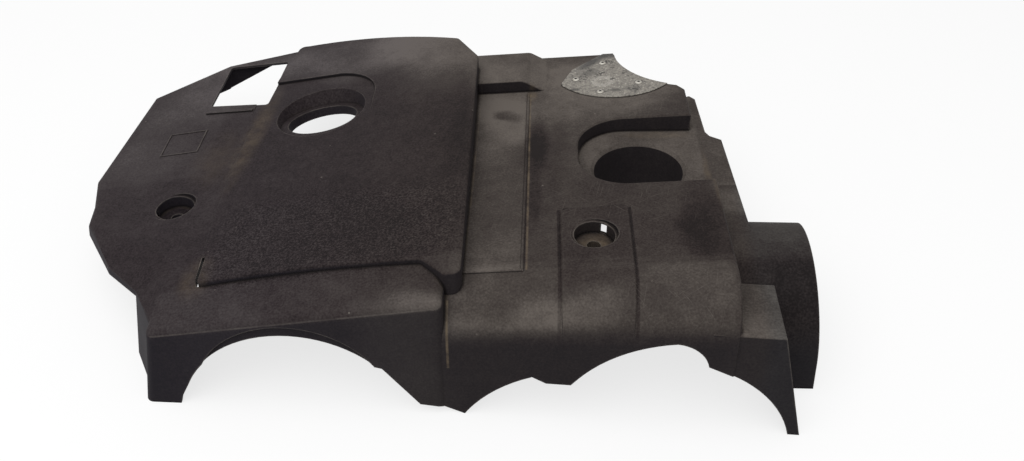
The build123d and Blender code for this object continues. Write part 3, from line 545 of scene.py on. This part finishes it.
@dataclass(frozen=True)
class PlasticFinish:
    """Dark grained moulding, faded and dusty on its flats and oily in places, with painted shade in its
    corners and painted highlights on its edges; colours are linear.

    The tone runs from oiled at 0, past clean, to fully faded at 1.

    Attributes:
        name: The material's name.
        wear: Where it is worn, stained and dusty, and where light and shade are painted on it.
        tones: Colour of each tone.
        dust: Colour of dust.
        grime_and_shade: Colour of dirt and of painted shade in corners.
        scuff_and_highlight: Colour of worn edges and their painted highlights, of scratches and of specks.
        side_reflection_tint: Colour that upright faces take on: clean plastic, with a painted cool
            reflection.
        side_share: Their share of it.
        clean: Tone of clean plastic.
        mean_tone: Tone at which the roughness is the mean one.
        roughness: Mean roughness.
        cloud_roughness: How far the clouds change it.
        tone_roughness: How far the tone changes it.
        shine: Specular level.
        flat_step: Upward facing between which a face counts as flat.
        cloud: Broad changes of tone.
        mottle: Blotches.
        grain: The mould's grain.
        pebble: The finest relief.
        smear: Breaks in dust and wear.
        wander: What makes patches stray.
        stray: How far they stray, in millimetres.
        cloud_tone: How far the clouds change the tone.
        mottle_tone: How far the blotches change it.
        grain_tone: How far the grain changes it, on the panels and on the coarse pad.
        grain_relief: Height of the grain there.
        pebble_relief: Height of the finest relief.
        relief: Depth of a height of 1, in millimetres.
        edge_radius: Radius over which edges turn, in millimetres.
        worn_patch: Strength of pale patches by cloud.
        oiled_patch: Strength of dark patches by cloud.
        smear_step: Noise between which a smear comes in.
        dust_patch: Strength of dust by smear.
        edge_patch: Strength of the worn and highlighted edges by smear.
        roll_patch: Strength of the painted highlight on the front edge by smear.
        roll_start: Facing between which that edge starts.
        roll_end: Facing between which it ends.
        settled: Dust in corners.
        rubbed_and_lit_edges: Wear and painted highlight on outer edges.
        caked_and_shaded: Dirt and painted shade deep in corners.
        scratch: Fine scratches, with their width.
        scratch_runs: Angle in degrees and length in millimetres of the scratches.
        scratch_noise: What places them, in units of their length and width.
        speck: Specks, with their spacing.
        speck_chance: Random value between which a place has a speck.
    """

    name: str = "worn_moulded_plastic"
    wear: WearAndLightMap = WearAndLightMap()
    tones: Stops = (
        (0.00, (0.0125, 0.0095, 0.0092)),
        (0.20, (0.0270, 0.0206, 0.0195)),
        (0.55, (0.0560, 0.0472, 0.0420)),
        (1.00, (0.1180, 0.1020, 0.0900)),
    )
    dust: Colour = (0.180, 0.138, 0.092)
    grime_and_shade: Colour = (0.0100, 0.0085, 0.0085)
    scuff_and_highlight: Colour = (0.230, 0.205, 0.180)
    side_reflection_tint: Colour = (0.0235, 0.0215, 0.0245)
    side_share: float = 0.55
    clean: float = 0.18
    mean_tone: float = 0.3
    roughness: float = 0.62
    cloud_roughness: float = 0.25
    tone_roughness: float = 0.15
    shine: float = 0.04
    flat_step: Step = (0.05, 0.55)
    cloud: Pattern = Pattern(62.0, 5.0, 0.6)
    mottle: Pattern = Pattern(9.0, 4.0, 0.65)
    grain: Pattern = Pattern(1.7, 2.0)
    pebble: Pattern = Pattern(0.7, 1.0)
    smear: Pattern = Pattern(14.0, 5.0, 0.7)
    wander: Pattern = Pattern(80.0, 3.0, 0.5)
    stray: Point3 = (60.0, 60.0, 0.0)
    cloud_tone: float = 0.42
    mottle_tone: float = 0.32
    grain_tone: Span = (0.65, 1.45)
    grain_relief: Span = (0.4, 2.0)
    pebble_relief: float = 0.6
    relief: float = 0.07
    edge_radius: float = 0.9
    worn_patch: Span = (0.4, 1.6)
    oiled_patch: Span = (0.3, 1.7)
    smear_step: Step = (0.35, 0.68)
    dust_patch: Span = (0.3, 1.1)
    edge_patch: Span = (0.3, 1.0)
    roll_patch: Span = (0.10, 0.26)
    roll_start: Step = (0.30, 0.55)
    roll_end: Step = (0.92, 0.62)
    settled: Layer = Layer((0.22, 0.62), 0.30, 7.0)
    rubbed_and_lit_edges: Layer = Layer((0.10, 0.50), 0.42, 1.6)
    caked_and_shaded: Layer = Layer((0.10, 0.40), 0.85, 3.6)
    scratch: Layer = Layer((0.67, 0.76), 0.22, 0.8)
    scratch_runs: tuple[Point2, ...] = ((28.0, 34.0), (-47.0, 26.0), (78.0, 30.0))
    scratch_noise: Pattern = Pattern(1.0, 1.0, 0.4)
    speck: Layer = Layer((0.065, 0.03), 0.40, 16.0)
    speck_chance: Step = (0.86, 0.88)

    def material(self) -> bpy.types.Material:
        """Builds the plastic.

        Returns:
            The plastic's material.
        """
        graph = Graph(bpy.data.materials.new(self.name))
        place = graph.place()
        facing = graph.add(Node.GEOMETRY, output="Normal")
        flat = graph.split(facing)[2].rise(*self.flat_step)
        cloud = self.cloud.over(graph, place)
        grain = self.grain.over(graph, place)
        coarse = self.wear.coarse_pad.mask(graph, place)
        tone = self.tone(graph, place, flat, cloud)
        tone = tone + grain.swing(coarse.between(*self.grain_tone))
        plain = graph.add(Node.RAMP, {"stops": self.tones}, {0: tone})
        roughness = cloud.swing(self.cloud_roughness) + (tone - self.mean_tone) * self.tone_roughness
        pebble = self.pebble.over(graph, place) * self.pebble_relief
        height = pebble + grain * coarse.between(*self.grain_relief)
        shader = graph.add(
            Node.PRINCIPLED,
            sockets={
                "Base Color": self.soiled_and_shaded(graph, place, flat, plain),
                "Roughness": (self.roughness + roughness).clamped(),
                "Specular IOR Level": self.shine,
                "Normal": graph.bump(height, self.relief, graph.eased(self.edge_radius)),
            },
        )
        return graph.close(shader)

    def tone(self, graph: Graph, place: Wire, flat: Wire, cloud: Wire) -> Wire:
        """How faded the plastic is over the part, with painted light and shade on some panels.

        Args:
            graph: The plastic's graph.
            place: Position on the part.
            flat: Share of a face that looks up.
            cloud: Broad noise.

        Returns:
            The tone, for the ramp.
        """
        wander = self.wander.over(graph, place).sibling("Color")
        drift = graph.add(Node.VECTOR_MATH, {"operation": "SUBTRACT"}, {0: wander, 1: (MIDDLE,) * 3})
        sockets = {0: drift, 1: self.stray, 2: place}
        strayed = graph.add(Node.VECTOR_MATH, {"operation": "MULTIPLY_ADD"}, sockets)
        # Some panels and pale patches here paint light and shade: sheen on the hood, the lit crown of the
        # duct, shaded lines along the screw pad's step and the paler side of the left panel's soft crease.
        worn = total(graph, place, self.wear.panels) + total(graph, strayed, self.wear.fades)
        worn = worn * cloud.between(*self.worn_patch)
        oiled = total(graph, strayed, self.wear.stains) * cloud.between(*self.oiled_patch)
        sides = total(graph, strayed, self.wear.side_fades) * (1.0 - flat)
        blotches = self.mottle.over(graph, place).swing(self.mottle_tone)
        return (worn + oiled) * flat + sides + blotches + cloud.swing(self.cloud_tone) + self.clean

    def soiled_and_shaded(self, graph: Graph, place: Wire, flat: Wire, colour: Wire) -> Wire:
        """Adds dust, wear, scratches and specks to the plastic's colour, with painted shade in corners,
        painted highlights on edges and a painted cool reflection on upright faces.

        Args:
            graph: The plastic's graph.
            place: Position on the part.
            flat: Share of a face that looks up.
            colour: The colour so far.

        Returns:
            The soiled colour.
        """
        # Painted reflection: upright faces turn to a cool dark colour that stands in for the sheen they
        # reflect, and stay clean of dust.
        colour = graph.blend((1.0 - flat) * self.side_share, colour, self.side_reflection_tint)
        for tint, area in self.wear.tints:
            colour = graph.blend(area.mask(graph, place), colour, tint, Blend.TINT)
        smear = self.smear.over(graph, place).rise(*self.smear_step)
        corner = self.settled.shown(graph.crease(self.settled.reach)) * flat * smear
        dusted = total(graph, place, self.wear.dusted) * smear.between(*self.dust_patch)
        colour = graph.blend((corner * self.settled.strength + dusted).clamped(), colour, self.dust)
        # Painted highlight: outer edges are lightened, partly as wear and partly as the light that they
        # catch.
        edge = self.rubbed_and_lit_edges.shown(graph.ridge(self.rubbed_and_lit_edges.reach)) * smear.between(*self.edge_patch)
        colour = graph.blend(edge * self.rubbed_and_lit_edges.strength, colour, self.scuff_and_highlight)
        # Painted highlight along the front edge below the pad where it turns over, with some wear.
        rolled = self.wear.front_roll.mask(graph, place)
        rolled = rolled * flat.rise(*self.roll_start) * flat.rise(*self.roll_end)
        colour = graph.blend(rolled * smear.between(*self.roll_patch), colour, self.scuff_and_highlight)
        # Painted shade: deep corners and creases are darkened, partly as dirt and partly as the shade that
        # falls in them.
        caked_and_shaded = self.caked_and_shaded.shown(graph.crease(self.caked_and_shaded.reach)) * self.caked_and_shaded.strength
        colour = graph.blend(caked_and_shaded, colour, self.grime_and_shade)
        lines = self.scratches(graph, place) * total(graph, place, self.wear.scratched)
        colour = graph.blend((lines * flat * self.scratch.strength).clamped(), colour, self.scuff_and_highlight)
        return graph.blend(self.specks(graph, place) * flat * self.speck.strength, colour, self.scuff_and_highlight)

    def scratches(self, graph: Graph, place: Wire) -> Wire:
        """Fine scratches that run a few ways.

        Args:
            graph: The plastic's graph.
            place: Position on the part.

        Returns:
            1 on a scratch, else 0.
        """
        lines: Optional[Wire] = None
        for turn, length in self.scratch_runs:
            # Each run is read from an origin of its own, so that no two look alike.
            origin = (turn, length)
            local = graph.laid(place, origin, turn, (length, self.scratch.reach))
            line = self.scratch.shown(self.scratch_noise.over(graph, local))
            lines = line if lines is None else lines.larger(line)
        return lines

    def specks(self, graph: Graph, place: Wire) -> Wire:
        """Small pale specks, thinly spread.

        Args:
            graph: The plastic's graph.
            place: Position on the part.

        Returns:
            1 on a speck, else 0.
        """
        cell = graph.add(Node.VORONOI, sockets={"Vector": place, "Scale": 1.0 / self.speck.reach})
        chance = graph.split(cell.sibling("Color"))[0].rise(*self.speck_chance)
        return self.speck.shown(cell) * chance


@dataclass(frozen=True)
class MetalFinish:
    """Dull worn sheet metal with dark pits, pale scuffs and painted shade in its corners; colours are
    linear.

    Attributes:
        name: The material's name.
        bare: Colour of the worn metal.
        tarnish: Colour where it has dulled.
        pit_and_shade: Colour of its pits and ingrained dirt, and of its painted shade.
        fleck: Colour of its bright specks.
        dark_marks: Where dirt has gathered, and where shade is painted.
        pale_marks: Where it is paler.
        roughness: Its mean roughness.
        speckle_roughness: How far the speckle changes it.
        pit_roughness: How far the pits raise it.
        metal: Share of bare metal that shines through the dull coat.
        cloud: Broad dulling.
        speckle: Fine changes of colour.
        bare_step: Speckle between which bare metal comes in.
        dulled: Tarnish by cloud.
        pitted: Pits.
        pit_cloud: Share of the cloud in where pits lie.
        dirty_and_shaded: Dirt and painted shade in corners.
        dark_mark_patch: Strength of the dark marks by speckle.
        flecked: Bright specks.
        fleck_noise: What places them.
        scuffed: Long scuffs, with their width.
        scuff_turn: Their angle, in degrees.
        scuff_length: Their length, in millimetres.
        scuff_noise: What places them, in units of their length and width.
        speckle_relief: Height of the speckle.
        cloud_relief: Height of the cloud.
        pit_relief: Depth of the pits.
        relief: Depth of a height of 1, in millimetres.
        edge_radius: Radius over which edges turn, in millimetres.
    """

    name: str
    bare: Colour = (0.255, 0.233, 0.200)
    tarnish: Colour = (0.135, 0.123, 0.106)
    pit_and_shade: Colour = (0.036, 0.032, 0.029)
    fleck: Colour = (0.440, 0.415, 0.370)
    dark_marks: Marks = ()
    pale_marks: Marks = ()
    roughness: float = 0.55
    speckle_roughness: float = 0.4
    pit_roughness: float = 0.2
    metal: float = 0.25
    cloud: Pattern = Pattern(13.0, 5.0, 0.65)
    speckle: Pattern = Pattern(2.6, 3.0, 0.75)
    bare_step: Step = (0.40, 0.60)
    dulled: Layer = Layer((0.44, 0.68), 0.68)
    pitted: Layer = Layer((0.56, 0.64), 0.88)
    pit_cloud: float = 0.9
    dirty_and_shaded: Layer = Layer((0.15, 0.55), 0.8, 2.0)
    dark_mark_patch: Span = (0.3, 1.7)
    flecked: Layer = Layer((0.62, 0.70), 0.75)
    fleck_noise: Pattern = Pattern(2.0, 1.0)
    scuffed: Layer = Layer((0.60, 0.72), 0.3, 0.7)
    scuff_turn: float = 24.0
    scuff_length: float = 9.0
    scuff_noise: Pattern = Pattern(1.0, 2.0)
    speckle_relief: float = 0.6
    cloud_relief: float = 0.4
    pit_relief: float = 0.5
    relief: float = 0.12
    edge_radius: float = 0.3

    def material(self) -> bpy.types.Material:
        """Builds the metal.

        Returns:
            The metal's material.
        """
        graph = Graph(bpy.data.materials.new(self.name))
        place = graph.place()
        cloud = self.cloud.over(graph, place)
        speckle = self.speckle.over(graph, place)
        pits = self.pitted.shown(MIDDLE - speckle + cloud * self.pit_cloud)
        colour = graph.blend(speckle.rise(*self.bare_step), self.tarnish, self.bare)
        colour = graph.blend(self.dulled.shown(cloud) * self.dulled.strength, colour, self.tarnish)
        colour = graph.blend(self.brightened(graph, place).clamped(), colour, self.fleck)
        # Dark on the metal: its pits and dirt, with painted shade in corners, round the rivets and in
        # their bores.
        dirt = pits * self.pitted.strength
        dirt = dirt + self.dirty_and_shaded.shown(graph.crease(self.dirty_and_shaded.reach)) * self.dirty_and_shaded.strength
        if self.dark_marks:
            dirt = dirt + total(graph, place, self.dark_marks) * speckle.between(*self.dark_mark_patch)
        colour = graph.blend(dirt.clamped(), colour, self.pit_and_shade)
        roughness = self.roughness + speckle.swing(self.speckle_roughness) + pits * self.pit_roughness
        height = speckle * self.speckle_relief + cloud * self.cloud_relief - pits * self.pit_relief
        shader = graph.add(
            Node.PRINCIPLED,
            sockets={
                "Base Color": colour,
                "Metallic": self.metal,
                "Roughness": roughness.clamped(),
                "Normal": graph.bump(height, self.relief, graph.eased(self.edge_radius)),
            },
        )
        return graph.close(shader)

    def brightened(self, graph: Graph, place: Wire) -> Wire:
        """Where specks, scuffs and rubbing have left the metal bright.

        Args:
            graph: The metal's graph.
            place: Position on the part.

        Returns:
            The strength, which may pass 1.
        """
        scale = (self.scuff_length, self.scuffed.reach)
        local = graph.laid(place, (0.0, 0.0), self.scuff_turn, scale)
        flecks = self.flecked.shown(self.fleck_noise.over(graph, place)) * self.flecked.strength
        scuffs = self.scuffed.shown(self.scuff_noise.over(graph, local)) * self.scuffed.strength
        bright = flecks + scuffs
        if self.pale_marks:
            bright = bright + total(graph, place, self.pale_marks)
        return bright


def dress(node: str, material: bpy.types.Material) -> bpy.types.Object:
    """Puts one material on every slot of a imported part.

    Args:
        node: The part's name.
        material: Its finish.

    Returns:
        The part's object.
    """
    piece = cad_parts[node]
    for slot in piece.material_slots:
        slot.material = material
    return piece


@dataclass
class MouldedShell:
    """The moulding, in worn plastic.

    Attributes:
        node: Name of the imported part.
        finish: Its plastic.
    """

    node: str = "cover_shell"
    finish: PlasticFinish = PlasticFinish()

    def build(self) -> list[bpy.types.Object]:
        """Dresses the part and returns it."""
        return [dress(self.node, self.finish.material())]


@dataclass
class ShieldSet:
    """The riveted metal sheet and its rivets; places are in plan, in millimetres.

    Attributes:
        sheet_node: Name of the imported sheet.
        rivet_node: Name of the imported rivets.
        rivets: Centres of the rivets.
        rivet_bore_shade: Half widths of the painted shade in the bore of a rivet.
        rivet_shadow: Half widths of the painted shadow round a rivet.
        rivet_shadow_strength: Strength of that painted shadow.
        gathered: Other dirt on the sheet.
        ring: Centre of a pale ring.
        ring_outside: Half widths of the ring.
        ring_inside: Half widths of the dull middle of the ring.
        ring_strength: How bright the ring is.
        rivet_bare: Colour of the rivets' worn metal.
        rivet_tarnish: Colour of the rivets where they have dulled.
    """

    sheet_node: str = "heat_shield"
    rivet_node: str = "shield_rivets"
    rivets: tuple[Point2, ...] = ((155.0, 168.0), (127.0, 136.0), (150.0, 108.0), (188.0, 123.0))
    rivet_bore_shade: Point2 = (2.4, 2.4)
    rivet_shadow: Point2 = (7.0, 7.0)
    rivet_shadow_strength: float = 0.6
    gathered: Marks = (
        Spot((165.0, 110.0), (9.0, 4.5), 0.7),  # front edge
        Spot((141.0, 149.0), (15.0, 11.0), 0.5, 40.0),  # between the left rivets
        Spot((126.0, 115.0), (6.0, 4.0), 0.7),  # front left
        Spot((180.0, 112.0), (12.0, 5.0), 0.4),  # front right
        Spot((143.0, 170.0), (30.0, 8.0), 0.9, 47.0),  # rear left edge
        Spot((163.0, 186.0), (18.0, 12.0), 0.9),  # rear corner
    )
    ring: Point2 = (153.0, 129.0)
    ring_outside: Point2 = (13.0, 13.0)
    ring_inside: Point2 = (11.2, 11.2)
    ring_strength: float = 2.2
    rivet_bare: Colour = (0.52, 0.50, 0.45)
    rivet_tarnish: Colour = (0.40, 0.37, 0.32)

    def sheet_finish(self) -> MetalFinish:
        """The sheet's metal, with its dirt, the painted shadows round its rivets and its pale ring.

        Returns:
            The finish.
        """
        # Painted shadow: a dark ring round each rivet.
        rivet_shadows = tuple(Spot(centre, self.rivet_shadow, self.rivet_shadow_strength) for centre in self.rivets)
        bright = Spot(self.ring, self.ring_outside, self.ring_strength)
        dull = Spot(self.ring, self.ring_inside, -self.ring_strength)
        return MetalFinish("worn_sheet_metal", dark_marks=rivet_shadows + self.gathered, pale_marks=(bright, dull))

    def rivet_finish(self) -> MetalFinish:
        """The rivets' metal, with painted shade in the bore of each."""
        # Painted shade: the bore of each rivet is darkened.
        bore_shades = tuple(Spot(centre, self.rivet_bore_shade, 1.0) for centre in self.rivets)
        return MetalFinish("dull_rivet_metal", self.rivet_bare, self.rivet_tarnish, dark_marks=bore_shades)

    def build(self) -> list[bpy.types.Object]:
        """Dresses both parts.

        Returns:
            The sheet and the rivets.
        """
        sheet = dress(self.sheet_node, self.sheet_finish().material())
        rivets = dress(self.rivet_node, self.rivet_finish().material())
        return [sheet, rivets]


def seen(graph: Graph) -> Wire:
    """1 for a ray that shows a surface to the camera, straight, mirrored or through glass, else 0."""
    camera = graph.add(Node.LIGHT_PATH, output="Is Camera Ray")
    return camera.larger(camera.sibling("Is Glossy Ray")).larger(camera.sibling("Is Transmission Ray"))


def aimed(place: Point3, target: Point3) -> Point3:
    """The turn of a camera or lamp that looks from a place at a target."""
    return tuple((Vector(target) - Vector(place)).to_track_quat("-Z", "Y").to_euler())


@dataclass
class Studio:
    """Pale floor, soft overhead light and the photograph's camera.

    Attributes:
        eye: The camera's place, in metres.
        target: The point that it looks at, in metres.
        focal_pixels: Focal length in pixels of the picture's width.
        sensor: Width of the camera's sensor, in millimetres.
        nearest: The nearest that the camera sees, in metres.
        floor_size: Side of the floor, in metres.
        floor_colour: Grey of the floor where it lights the part.
        floor_white: Grey of the floor where it is seen.
        floor_glow: Share of plain white in the floor where it is seen.
        sky: Strength of the even light from all round.
        key_power: Power of the overhead lamp, in watts.
        key_size: Side of the lamp, in metres.
        key_place: Its place, in metres.
        key_target: The point that it shines at, in metres.
    """

    eye: Point3 = (0.0865, -0.7389, 0.6364)
    target: Point3 = (0.0695, -0.0880, 0.0900)
    focal_pixels: float = 1020.0
    sensor: float = 36.0
    nearest: float = 0.01
    floor_size: float = 12.0
    floor_colour: float = 0.45
    floor_white: float = 0.92
    floor_glow: float = 0.75
    sky: float = 0.50
    key_power: float = 42.0
    key_size: float = 2.4
    key_place: Point3 = (-0.30, -0.80, 2.05)
    key_target: Point3 = (0.0, 0.0, 0.0)

    def build(self) -> None:
        """Makes the camera, the floor and the light."""
        self.make_camera()
        self.make_floor()
        self.make_lamp()
        self.make_sky()
        bpy.context.scene.view_settings.view_transform = "Standard"

    def make_camera(self) -> None:
        """Places the camera at the photograph's viewing angle."""
        data = bpy.data.cameras.new("camera")
        data.sensor_fit = "HORIZONTAL"
        data.sensor_width = self.sensor
        data.lens = self.sensor * self.focal_pixels / IMAGE_WIDTH
        data.clip_start = self.nearest
        camera = bpy.data.objects.new("camera", data)
        camera.location = self.eye
        camera.rotation_euler = aimed(self.eye, self.target)
        bpy.context.scene.collection.objects.link(camera)
        bpy.context.scene.camera = camera

    def make_floor(self) -> None:
        """Lays the floor under the part."""
        half = self.floor_size / 2
        mesh = bpy.data.meshes.new("floor")
        corners = [(-half, -half, 0.0), (half, -half, 0.0), (half, half, 0.0), (-half, half, 0.0)]
        mesh.from_pydata(corners, [], [(0, 1, 2, 3)])
        graph = Graph(bpy.data.materials.new("pale_floor"))
        shown = seen(graph)
        greys = [(level, level, level) for level in (self.floor_colour, self.floor_white)]
        paint = graph.add(Node.DIFFUSE, sockets={"Color": graph.blend(shown, *greys)})
        glow = graph.add(Node.EMISSION, sockets={"Color": WHITE, "Strength": 1.0})
        mix = graph.add(Node.MIX_SHADER, sockets={0: shown * self.floor_glow, 1: paint, 2: glow})
        mesh.materials.append(graph.close(mix))
        floor = bpy.data.objects.new("floor", mesh)
        bpy.context.scene.collection.objects.link(floor)

    def make_lamp(self) -> None:
        """Hangs one large soft lamp over the part."""
        data = bpy.data.lights.new("soft_key", "AREA")
        data.shape = "SQUARE"
        data.size = self.key_size
        data.energy = self.key_power
        lamp = bpy.data.objects.new("soft_key", data)
        lamp.location = self.key_place
        lamp.rotation_euler = aimed(self.key_place, self.key_target)
        bpy.context.scene.collection.objects.link(lamp)

    def make_sky(self) -> None:
        """Sets an even sky, white where it is seen or mirrored."""
        world = bpy.data.worlds.new("studio_sky")
        graph = Graph(world)
        strength = seen(graph).between(self.sky, 1.0)
        background = graph.add(Node.BACKGROUND, sockets={"Color": WHITE, "Strength": strength})
        graph.add(Node.WORLD_OUTPUT, sockets={"Surface": background})
        bpy.context.scene.world = world


def main() -> None:
    """Builds the scene."""
    logging.basicConfig(level=logging.INFO)
    Studio().build()
    for group in (MouldedShell(), ShieldSet()):
        for piece in group.build():
            LOG.info("dressed %s", piece.name)


if __name__ == "__main__":
    main()
